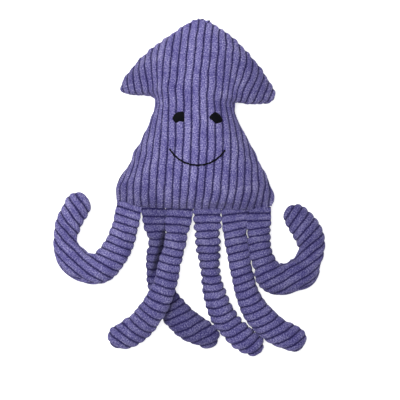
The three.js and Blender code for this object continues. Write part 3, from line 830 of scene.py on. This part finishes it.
def press_wales(piece, pitch, notch, hemmed=False):
    """Presses the wales and the seams into a piece; notch is the groove's depth beside a seam."""
    mesh = piece.data
    points = point_places(mesh)
    normals = np.zeros(len(mesh.vertices) * 3, np.float32)
    mesh.vertex_normals.foreach_get("vector", normals)
    normals = normals.reshape(-1, 3)
    seam, back = point_values(mesh, "seam"), point_values(mesh, "back")
    edge = np.exp(-((seam / EDGE_REACH) ** 2))
    sharpness = GROOVE_SHARPNESS * (1 - edge) + EDGE_SHARPNESS * edge
    places = cloth_places(mesh)
    groove = 1 - wale_crest(places[:, 0] / pitch, sharpness)
    if hemmed:
        groove *= smoothstep(places[:, 1], *HEM_BAND)
    pulled = np.exp(-((seam / SEAM_WIDTH) ** 2))
    depth = WALE_DEPTH * (1 - edge) + notch * edge
    crest = CREST_HEIGHT * (1 - edge) + (EDGE_CREST_SHARE * notch - EDGE_CREST_DROP) * edge
    height = crest - depth * groove - SEAM_PULL * pulled - BACK_DROP * back
    points += normals * (height * MM)[:, None]
    points[:, 2] = np.maximum(points[:, 2], 0)
    mesh.vertices.foreach_set("co", points.ravel())
    settle_seam(mesh)


def settle_seam(mesh):
    """Rounds off the sharpest points beside the seams, as the stuffing does."""
    bm = bmesh.new()
    bm.from_mesh(mesh)
    seam = bm.verts.layers.float["seam"]
    beside = [v for v in bm.verts if v[seam] < SETTLED_BESIDE_SEAM]
    for _ in range(SETTLING_ROUNDS):
        bmesh.ops.smooth_vert(
            bm, verts=beside, factor=SETTLING_SHARE, use_axis_x=True, use_axis_y=True,
            use_axis_z=True,
        )
    bm.to_mesh(mesh)
    bm.free()
    mesh.update()


height_on_mantle = cloth_places(mantle.data)[:, 1]
mantle_notch = BELLY_NOTCH + (HEAD_NOTCH - BELLY_NOTCH) * smoothstep(height_on_mantle, *NECK_BAND)
press_wales(mantle, MANTLE_PITCH, mantle_notch, hemmed=True)
for name, arm in arms.items():
    press_wales(arm, ARM_PITCH, ARMS[name]["notch"])
print("wales:", WALE_DEPTH, "mm deep, every", MANTLE_PITCH, "mm on the mantle")

# %% [markdown]
# ## The face
#
# The eyes are satin stitch: rows of black thread laid side by side over the cloth, which stand a
# little proud. Each is a round dome stretched to a measured outline. The mouth is one line of long
# stitches in the same thread. Both lie on the smooth form of the belly, because embroidery presses
# the pile of the wales flat. Colour on the cloth alone would look printed, so they are pieces of
# their own, which catch the light above the pile.

# %% A place on the belly
ABOVE_THE_TOY = 200.0


def belly_height(x, y):
    """The height of the belly's smooth form over a place on the pattern."""
    place = Vector((x + PATTERN_ORIGIN[0], y + PATTERN_ORIGIN[1], ABOVE_THE_TOY)) * MM
    hit, _, _, _ = smooth_mantle.ray_cast(place, Vector((0, 0, -1)))
    return hit.z / MM


# %% The eyes
EYES = {
    "left_eye": {
        "centre": (-15.5, 95),
        "outline": [
            (-6, -1), (-2.5, 3.6), (0.4, 5.2), (5.1, 5), (5.9, 0.4), (5.6, -4.6), (1.2, -4.6),
            (-2.2, -5.9), (-4.6, -4),
        ],
    },
    "right_eye": {
        "centre": (21.8, 94.3),
        "outline": [
            (-6.8, 0), (-4.6, 3.6), (-0.6, 5.5), (3.1, 4.2), (5.2, 0.9), (6.4, -2.8), (4.5, -5.1),
            (0.3, -5.8), (-3.2, -3.4),
        ],
    },
}
EYE_RELIEF = 1.5
EYE_DOME_POWER = 0.7
EYE_SEGMENTS = 64
EYE_STEPS = 400


def stitched_eye(name, centre, outline):
    """A low dome over the outline, and the same under it, which is sunk in the cloth."""
    # the curve runs once round, past the point it started from
    once_round = (len(outline) + 1) / (len(outline) + 2)
    closed = smooth_curve([*outline, *outline[:3]])(np.linspace(0, 1, EYE_STEPS) * once_round)
    turns = np.arctan2(closed[:, 1], closed[:, 0])
    reach = np.hypot(closed[:, 0], closed[:, 1])
    order = np.argsort(turns)
    bm = bmesh.new()
    bmesh.ops.create_uvsphere(bm, u_segments=EYE_SEGMENTS, v_segments=EYE_SEGMENTS // 2, radius=1)
    for v in bm.verts:
        turn = math.atan2(v.co.y, v.co.x)
        edge = np.interp(turn, turns[order], reach[order], period=2 * math.pi)
        x, y = centre[0] + v.co.x * edge, centre[1] + v.co.y * edge
        dome = math.copysign(abs(v.co.z) ** EYE_DOME_POWER, v.co.z) * EYE_RELIEF
        z = belly_height(x, y) + dome
        v.co = Vector((x + PATTERN_ORIGIN[0], y + PATTERN_ORIGIN[1], z)) * MM
    return finished_piece(name, bm)


eyes = {name: stitched_eye(f"{name}_stitches", **eye) for name, eye in EYES.items()}
print("eyes:", len(eyes), "domes", 2 * EYE_RELIEF, "mm thick")

# %% The mouth
MOUTH_CENTRE = (3.7, 78.7)
MOUTH_RADIUS = 31.5
MOUTH_SPAN = (208, 329)
THREAD = 1.9
THREAD_WAIST = 0.6
THREAD_END_STEPS = 2
STITCH_LENGTH = 3.2
STITCH_RISE = 0.35
STITCH_WOBBLE = 0.15
MOUTH_STEPS = 240
THREAD_SIDES = 10
THREAD_MERGE_DISTANCE = MERGE_DISTANCE / 4


def stitched_mouth(name):
    """A thread along an arc, full at the middle of each stitch and thin where it dives in."""
    bm = bmesh.new()
    bmesh.ops.create_grid(bm, x_segments=THREAD_SIDES, y_segments=MOUTH_STEPS, size=0.5)
    for v in bm.verts:
        share, turn = v.co.y + 0.5, (v.co.x + 0.5) * 2 * math.pi
        angle = math.radians(MOUTH_SPAN[0] + (MOUTH_SPAN[1] - MOUTH_SPAN[0]) * share)
        x = MOUTH_CENTRE[0] + MOUTH_RADIUS * math.cos(angle)
        y = MOUTH_CENTRE[1] + MOUTH_RADIUS * math.sin(angle)
        gone = MOUTH_RADIUS * math.radians(MOUTH_SPAN[1] - MOUTH_SPAN[0]) * share
        fullness = abs(math.sin(math.pi * gone / STITCH_LENGTH)) ** 0.5
        end = min(share, 1 - share) * MOUTH_STEPS
        radius = THREAD / 2 * (THREAD_WAIST + (1 - THREAD_WAIST) * fullness)
        radius *= min(end / THREAD_END_STEPS, 1) ** 0.5
        wobble = STITCH_WOBBLE * (-1) ** int(gone / STITCH_LENGTH) * fullness
        out = radius * math.cos(turn) + wobble
        z = belly_height(x, y) + CREST_HEIGHT + STITCH_RISE * fullness + radius * math.sin(turn)
        x, y = x + out * math.cos(angle), y + out * math.sin(angle)
        v.co = Vector((x + PATTERN_ORIGIN[0], y + PATTERN_ORIGIN[1], z)) * MM
    bmesh.ops.remove_doubles(bm, verts=bm.verts, dist=THREAD_MERGE_DISTANCE)
    bmesh.ops.recalc_face_normals(bm, faces=bm.faces)
    return finished_piece(name, bm)


mouth = stitched_mouth("mouth_stitches")
print("mouth:", len(mouth.data.vertices), "points")

# %% [markdown]
# ## Materials
#
# Colours are written as they look on screen, and one function turns them to the linear values that
# the shader works in. Another adds a node, sets it and links it.


# %% Colour and node helpers
def linear(hex_colour, alpha=1.0):
    """An sRGB hex colour as linear RGBA."""
    parts = [int(hex_colour[i : i + 2], 16) / 255 for i in (1, 3, 5)]
    return [c / 12.92 if c <= 0.04045 else ((c + 0.055) / 1.055) ** 2.4 for c in parts] + [alpha]


def add_node(tree, kind, settings=None, **inputs):
    """Adds a node. An input is a value, or a socket to link."""
    node = tree.nodes.new(kind)
    for key, value in (settings or {}).items():
        setattr(node, key, value)
    for key, value in inputs.items():
        socket = node.inputs[int(key[1:])] if key[1:].isdigit() else node.inputs[key.replace("_", " ")]
        if isinstance(value, bpy.types.NodeSocket):
            tree.links.new(value, socket)
        else:
            socket.default_value = value
    return node


def new_material(name, **finish):
    """A material whose shader has the given values all over."""
    material = bpy.data.materials.new(name)
    material.use_nodes = True
    tree = material.node_tree
    shader = tree.nodes["Principled BSDF"]
    for key, value in finish.items():
        shader.inputs[key.replace("_", " ")].default_value = value
    return material, tree, shader


def two_toned(tree, shader, pattern, low_colour, high_colour, strength, relief):
    """Colours a surface between two tones by a pattern, which also stands up by the relief."""
    shade = add_node(tree, "ShaderNodeValToRGB", _0=pattern)
    shade.color_ramp.elements[0].color = linear(low_colour)
    shade.color_ramp.elements[1].color = linear(high_colour)
    bump = add_node(
        tree, "ShaderNodeBump", Strength=strength, Distance=relief * MM, Height=pattern
    )
    tree.links.new(shade.outputs[0], shader.inputs["Base Color"])
    tree.links.new(bump.outputs[0], shader.inputs["Normal"])


# %% [markdown]
# ### Corduroy
#
# Cotton corduroy is dyed after weaving. The cut pile on a wale is soft and matt, and it catches the
# light along its edges, which is sheen. In the groove the bare ground cloth lies in shade, so it is
# darker and bluer. The pile leans here and there, so patches of it look lighter or darker.
#
# Each arm's colour is darkened by its own painted shade, and the shaded pile keeps more of its blue
# than of its red and green. On the mantle a painted shade darkens the colour towards the sides, and a
# painted light lightens it at the crown. In the crevice beside another arm a painted shade turns the
# pile to the dark colour of the groove.
#
# A picture of cloth could be laid on the map. Here the colours follow the same wave as the mesh
# instead, so the dark of a groove always lies in that groove, at any size.

# %% Corduroy
PILE = {"groove": "#1f194b", "flank": "#4e4887", "ridge": "#726ca8", "fleck": "#b1acd9"}
TONE_STOPS = {"flank": 0.51, "ridge": 0.71, "fleck": 0.93}
# the tips of the pile show as flecks, drawn coarser than real fibres so that they can be seen
FLECK_LENGTH = 1.25
# patches of pile lean another way, which is this much of the tone
PATCH_LENGTH = 16.0
PATCH_SHARE = 0.4
PILE_RELIEF = 0.6
# how ragged the edge of a wale is, and where on its slope the pile starts and is full
RAGGED_EDGE = 0.35
PILE_EDGE = (0.26, 0.82)
HEM_PILE = 0.9
MANTLE_SHADE = 0.98
# over this stretch across the mantle, the colour is scaled from the first factor to the second: a
# painted light where it is above 1, in the middle and at the crown, and a painted shade to the sides
SIDE_OF_THE_CLOTH = (-20.0, 80.0)
PAINTED_LIGHT_TO_SHADE = (1.1, 0.76)
# above this height the cloth counts as nearer the middle for the painted light, by this share of the
# way up
CROWN_HEIGHT = 140.0
CROWN_SHARE = 0.6
# how the painted shade acts on red, green and blue: the shaded pile keeps more of its blue
PAINTED_SHADE_POWERS = (1.05, 1.05, 0.92)
# how strongly the painted shade in a crevice beside another arm turns the pile to the groove colour
PAINTED_CREVICE_SHADE = 1.3


def pile_colours(shade):
    """The colours of the pile under shade: on an arm a painted shade, on the mantle its overall tone."""
    painted_shade_factors = [shade**depth for depth in PAINTED_SHADE_POWERS]
    pile = {}
    for part, colour in PILE.items():
        pile[part] = [*(c * g for c, g in zip(linear(colour), painted_shade_factors)), 1.0]
    # the ground cloth in the grooves keeps its one colour, without that shade
    pile["groove"] = linear(PILE["groove"])
    return pile


def pile_share(tree, place, fibres, pitch, hemmed):
    """A socket that is 1 on the pile of a wale and 0 in a groove."""
    across = add_node(
        tree, "ShaderNodeMath", {"operation": "MULTIPLY"}, _0=place.outputs[0], _1=math.pi / pitch
    )
    wave = add_node(tree, "ShaderNodeMath", {"operation": "COSINE"}, _0=across.outputs[0])
    upright = add_node(tree, "ShaderNodeMath", {"operation": "ABSOLUTE"}, _0=wave.outputs[0])
    ragged = add_node(
        tree, "ShaderNodeMath", {"operation": "MULTIPLY_ADD"}, _0=fibres.outputs[0], _1=RAGGED_EDGE,
        _2=upright.outputs[0],
    )
    wale = add_node(
        tree, "ShaderNodeMapRange", Value=ragged.outputs[0], From_Min=PILE_EDGE[0],
        From_Max=PILE_EDGE[1],
    )
    if not hemmed:
        return wale.outputs[0]
    plain = add_node(
        tree, "ShaderNodeMapRange", Value=place.outputs[1], From_Min=HEM_BAND[0],
        From_Max=HEM_BAND[1], To_Min=HEM_PILE, To_Max=0.0,
    )
    both = add_node(
        tree, "ShaderNodeMath", {"operation": "MAXIMUM"}, _0=wale.outputs[0], _1=plain.outputs[0]
    )
    return both.outputs[0]


def pile_tones(tree, cloth, fibres, pile):
    """A socket with the colour of the pile, from its flanks up to its flecks."""
    patches = add_node(
        tree, "ShaderNodeTexNoise", {"noise_dimensions": "2D"}, Vector=cloth.outputs[0],
        Scale=1 / PATCH_LENGTH, Detail=3.0, Roughness=0.6,
    )
    tones = add_node(
        tree, "ShaderNodeMath", {"operation": "MULTIPLY_ADD"}, _0=patches.outputs[0],
        _1=PATCH_SHARE, _2=fibres.outputs[0],
    )
    ramp = add_node(tree, "ShaderNodeValToRGB", _0=tones.outputs[0])
    stops = ramp.color_ramp.elements
    stops[0].position, stops[0].color = TONE_STOPS["flank"], pile["flank"]
    stops[1].position, stops[1].color = TONE_STOPS["fleck"], pile["fleck"]
    stops.new(TONE_STOPS["ridge"]).color = pile["ridge"]
    return ramp.outputs[0]


def mantle_painted_light_and_shade(tree, place, lit):
    """A socket with the colour under a painted shade to the mantle's sides and a painted light at its
    crown.
    """
    above = add_node(
        tree, "ShaderNodeMath", {"operation": "SUBTRACT"}, _0=place.outputs[1], _1=CROWN_HEIGHT
    )
    crown = add_node(tree, "ShaderNodeMath", {"operation": "MAXIMUM"}, _0=above.outputs[0], _1=0.0)
    sideways = add_node(tree, "ShaderNodeMath", {"operation": "ABSOLUTE"}, _0=place.outputs[0])
    away = add_node(
        tree, "ShaderNodeMath", {"operation": "MULTIPLY_ADD"}, _0=crown.outputs[0],
        _1=-CROWN_SHARE, _2=sideways.outputs[0],
    )
    painted_brightness = add_node(
        tree, "ShaderNodeMapRange", Value=away.outputs[0], From_Min=SIDE_OF_THE_CLOTH[0],
        From_Max=SIDE_OF_THE_CLOTH[1], To_Min=PAINTED_LIGHT_TO_SHADE[0], To_Max=PAINTED_LIGHT_TO_SHADE[1],
    )
    scaled = add_node(
        tree, "ShaderNodeVectorMath", {"operation": "SCALE"}, _0=lit, Scale=painted_brightness.outputs[0]
    )
    return scaled.outputs[0]


def corduroy(name, pitch, shade=1.0, hemmed=False):
    """Wale corduroy on the map of the flat cloth. The hemmed cloth is the mantle's."""
    material, tree, shader = new_material(
        name, Roughness=0.95, Specular_IOR_Level=0.15, Sheen_Weight=0.35, Sheen_Roughness=0.5,
        Sheen_Tint=linear("#b9b4dd"),
    )
    pile = pile_colours(shade)
    cloth = add_node(tree, "ShaderNodeUVMap", {"uv_map": "cloth"})
    place = add_node(tree, "ShaderNodeSeparateXYZ", _0=cloth.outputs[0])
    fibres = add_node(
        tree, "ShaderNodeTexNoise", {"noise_dimensions": "2D"}, Vector=cloth.outputs[0],
        Scale=1 / FLECK_LENGTH, Detail=2.0, Roughness=0.6,
    )
    lit = pile_tones(tree, cloth, fibres, pile)
    # on the mantle, a painted light at the crown and a painted shade towards the sides
    if hemmed:
        lit = mantle_painted_light_and_shade(tree, place, lit)
    # painted shade in the crevice beside another arm: the pile there takes the groove's dark colour
    squeeze_and_crevice_shade = add_node(tree, "ShaderNodeAttribute", {"attribute_name": "squeeze_and_crevice_shade"})
    pile_outside_crevice_shade = add_node(
        tree, "ShaderNodeMath", {"operation": "MULTIPLY_ADD", "use_clamp": True},
        _0=squeeze_and_crevice_shade.outputs["Fac"], _1=-PAINTED_CREVICE_SHADE,
        _2=pile_share(tree, place, fibres, pitch, hemmed),
    )
    colour = add_node(
        tree, "ShaderNodeMix", {"data_type": "RGBA"}, _0=pile_outside_crevice_shade.outputs[0], _6=pile["groove"],
        _7=lit,
    )
    bump = add_node(
        tree, "ShaderNodeBump", Strength=0.6, Distance=PILE_RELIEF * MM, Height=fibres.outputs[0]
    )
    tree.links.new(colour.outputs[2], shader.inputs["Base Color"])
    tree.links.new(bump.outputs[0], shader.inputs["Normal"])
    return material


mantle.data.materials.clear()
mantle.data.materials.append(corduroy("jumbo_corduroy_mantle", MANTLE_PITCH, MANTLE_SHADE, hemmed=True))
# each arm's own painted shade, darker towards the right and darkest under tentacle_3's shadow
for name, arm in arms.items():
    arm.data.materials.clear()
    arm.data.materials.append(corduroy(f"jumbo_corduroy_{name}", ARM_PITCH, ARMS[name]["shade"]))
print("corduroy:", 1 + len(arms), "shades of", len(PILE), "colours")

# %% [markdown]
# ### Embroidery thread
#
# Rayon thread has a soft shine along its length, and the rows of stitches show as fine ridges. They
# are drawn a little coarser than real thread, so that they can be seen.

# %% Black thread
THREAD_PITCH = 0.5
THREAD_RELIEF = 0.2
# a wave texture has a band every 2 * pi / 20 of its own units
BANDS_PER_UNIT = 10 / math.pi


def embroidery_thread(name):
    """Rows of black thread, side by side."""
    material, tree, shader = new_material(name, Roughness=0.5, Specular_IOR_Level=0.07)
    place = add_node(tree, "ShaderNodeTexCoord")
    rows = add_node(
        tree, "ShaderNodeTexWave", {"wave_type": "BANDS", "bands_direction": "Y"},
        Vector=place.outputs["Object"], Scale=1 / (BANDS_PER_UNIT * THREAD_PITCH * MM),
        Distortion=0.6, Detail=1.0,
    )
    two_toned(tree, shader, rows.outputs["Fac"], "#030409", "#0b0c14", 0.5, THREAD_RELIEF)
    return material


black_thread = embroidery_thread("black_rayon_thread")
for stitches in (*eyes.values(), mouth):
    stitches.data.materials.append(black_thread)
print("thread: a row every", THREAD_PITCH, "mm")

# %% [markdown]
# ### Inside the toy
#
# The padded cloth stands for its filling too, so only the squeaker is left inside. It doesn't show,
# but each part of it still gets the finish of the real one: a blown-vinyl bellows, milky with a soft
# shine, and a hard, smooth cap and reed.


# %% Vinyl and hard plastic
def plain_finish(name, colour, deep_colour, grain_size, roughness, relief):
    """One colour that deepens a little with the grain of the surface."""
    material, tree, shader = new_material(name, Roughness=roughness)
    place = add_node(tree, "ShaderNodeTexCoord")
    grain = add_node(
        tree, "ShaderNodeTexNoise", Vector=place.outputs["Object"], Scale=1 / (grain_size * MM),
        Detail=4.0,
    )
    two_toned(tree, shader, grain.outputs[0], deep_colour, colour, 0.4, relief)
    return material


vinyl = plain_finish(
    "blown_vinyl", "#e6e8e4", "#d5d8d3", grain_size=6.0, roughness=0.35, relief=0.05
)
hard_plastic = plain_finish(
    "moulded_polyethylene", "#f5f5f0", "#e8e8e2", grain_size=1.0, roughness=0.4, relief=0.02
)
INSIDE = {
    "squeaker_bellows": vinyl,
    "squeaker_reed_cap": hard_plastic,
    "squeaker_reed": hard_plastic,
}
for node, material in INSIDE.items():
    frame["nodes"][node].data.materials.clear()
    frame["nodes"][node].data.materials.append(material)
print("inside:", *INSIDE)

# %% [markdown]
# ## Which piece stands for what
#
# Each cloth form stands for its CAD panels and filling. The mantle and its face ride on one body.
# An arm that rode on its body alone would tear away from the hem when it swings, so it bends at its
# root: the tuck inside the hem stays with the mantle, and the rest follows the arm.

# %% Pieces and bodies
BEND_LENGTH = 14.0

for piece in (mantle, *eyes.values(), mouth):
    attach(piece, "mantle")
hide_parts("mantle_front_panel", "mantle_back_panel", "mantle_filling")
for name, eye in eyes.items():
    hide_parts(name)
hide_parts("mouth_stitching")

for name, arm in arms.items():
    root = Vector(HINGES[name]["pos_m"])
    out = Vector((-HINGES[name]["axis"][1], HINGES[name]["axis"][0], 0))
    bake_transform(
        arm, "mantle", name, start=root - out * ROOT_HALF_THICKNESS * MM,
        end=root + out * BEND_LENGTH * MM,
    )
    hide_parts(f"{name}_front_panel", f"{name}_back_panel", f"{name}_filling")
print("arms bend over", ROOT_HALF_THICKNESS + BEND_LENGTH, "mm")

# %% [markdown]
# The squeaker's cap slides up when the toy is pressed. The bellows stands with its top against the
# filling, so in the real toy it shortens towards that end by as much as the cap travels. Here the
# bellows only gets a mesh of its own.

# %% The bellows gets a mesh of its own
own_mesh(frame["nodes"]["squeaker_bellows"])

# %% [markdown]
# ## Floor, light and camera
#
# The toy lies on plain white card, seen from straight above, with light from above and a little
# from the upper left. A wide soft lamp overhead does most of the work. The camera stands far off
# with a long lens, so that the picture is nearly flat.
#
# White card under soft light is a light grey. The floor is lifted to white where the camera sees
# it, also through a mirror or glass, and still keeps the toy's shadow and lights it as card would.
# Lengths are in metres here, apart from the camera's sensor and lens, which are in millimetres.

# %% The floor
FLOOR_SIZE = 4.0
FLOOR_LIFT = 0.7
FLOOR_DROP = 0.0005


def plain_floor():
    """A sheet of white card."""
    bm = bmesh.new()
    bmesh.ops.create_grid(bm, x_segments=1, y_segments=1, size=FLOOR_SIZE / 2)
    floor = finished_piece("floor", bm)
    material, tree, shader = new_material(
        "white_card", Base_Color=linear("#fbfbfb"), Emission_Color=linear("#ffffff"),
        Roughness=0.9, Specular_IOR_Level=0.1,
    )
    rays = add_node(tree, "ShaderNodeLightPath")
    mirrored = add_node(
        tree, "ShaderNodeMath", {"operation": "MAXIMUM"}, _0=rays.outputs["Is Glossy Ray"],
        _1=rays.outputs["Is Transmission Ray"],
    )
    seen = add_node(
        tree, "ShaderNodeMath", {"operation": "MAXIMUM"}, _0=rays.outputs["Is Camera Ray"],
        _1=mirrored.outputs[0],
    )
    lift = add_node(
        tree, "ShaderNodeMath", {"operation": "MULTIPLY"}, _0=seen.outputs[0], _1=FLOOR_LIFT
    )
    tree.links.new(lift.outputs[0], shader.inputs["Emission Strength"])
    floor.data.materials.append(material)
    return floor


floor = plain_floor()
floor.location.z = -FLOOR_DROP
print("floor:", FLOOR_SIZE, "m wide")

# %% Lamps and world
TOY_MIDDLE = (0, 0, 0)
WORLD_STRENGTH = 0.45

scene = bpy.context.scene
scene.view_settings.view_transform = "Standard"


def soft_lamp(name, place, size, energy):
    """A round soft lamp that faces the toy, its energy in watts."""
    data = bpy.data.lights.new(name, "AREA")
    data.shape, data.size, data.energy = "DISK", size, energy
    lamp = bpy.data.objects.new(name, data)
    lamp.location = place
    lamp.rotation_mode = "QUATERNION"
    lamp.rotation_quaternion = (Vector(TOY_MIDDLE) - Vector(place)).to_track_quat("-Z", "Y")
    scene.collection.objects.link(lamp)


soft_lamp("overhead_lamp", place=(-0.3, 0.16, 1.12), size=0.7, energy=9.0)
soft_lamp("side_lamp", place=(-1.3, 0.7, 0.9), size=0.8, energy=2.2)
world = bpy.data.worlds.new("studio")
scene.world = world
world.use_nodes = True
background = world.node_tree.nodes["Background"]
background.inputs["Color"].default_value = linear("#ffffff")
background.inputs["Strength"].default_value = WORLD_STRENGTH
print("lamps:", len(bpy.data.lights), "in a world of strength", WORLD_STRENGTH)

# %% The camera
PICTURE_SPAN = 0.4
PICTURE_CENTRE_ON_PATTERN = (6.0, 13.0)
CAMERA_DISTANCE = 2.0
AIM_HEIGHT = 0.012
SENSOR_WIDTH = 36

camera_data = bpy.data.cameras.new("camera")
camera_data.sensor_width = SENSOR_WIDTH
camera_data.lens = SENSOR_WIDTH * CAMERA_DISTANCE / PICTURE_SPAN
camera = bpy.data.objects.new("camera", camera_data)
camera_place = (np.array(PICTURE_CENTRE_ON_PATTERN) + PATTERN_ORIGIN) * MM
camera.location = (*camera_place, CAMERA_DISTANCE + AIM_HEIGHT)
scene.collection.objects.link(camera)
scene.camera = camera
print("lens:", camera_data.lens, "mm")
